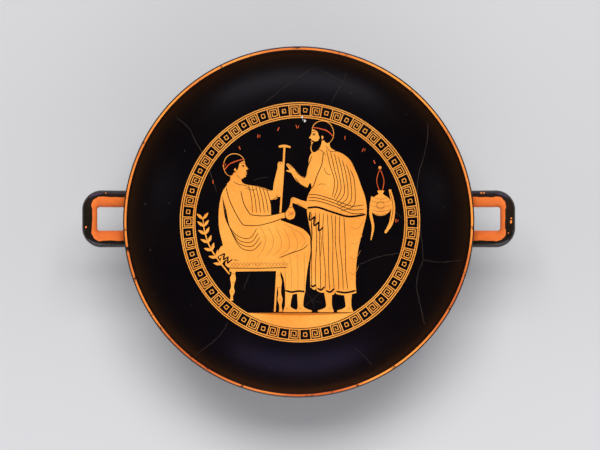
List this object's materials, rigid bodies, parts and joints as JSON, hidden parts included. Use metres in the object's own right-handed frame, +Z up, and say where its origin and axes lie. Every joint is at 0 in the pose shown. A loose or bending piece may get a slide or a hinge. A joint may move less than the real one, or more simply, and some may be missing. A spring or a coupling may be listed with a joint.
{
  "type": "kylix cup",
  "caption": "Wide shallow drinking cup of fired clay on a stemmed disc foot, with two looped side handles and a painted round picture inside.",
  "frame": {"origin": "on the ground, under the middle of the foot", "axes": "+Z up through the stem and the bowl; the two handles lie on X; +Y is the top of the painted picture"},
  "size_m": [0.3582, 0.29, 0.116],
  "materials": {
    "black_gloss": "fired black gloss slip, thin and browner towards the lip",
    "reserved_clay": "bare orange-red fired clay, lightly polished",
    "dilute_slip": "thinned slip fired brown",
    "added_red": "matt red slip laid over the black",
    "mended_joins": "grey-brown filling in the mended breaks"
  },
  "bodies": {
    "root": {"kylix_cup": "black_gloss"}
  },
  "joints": []
}
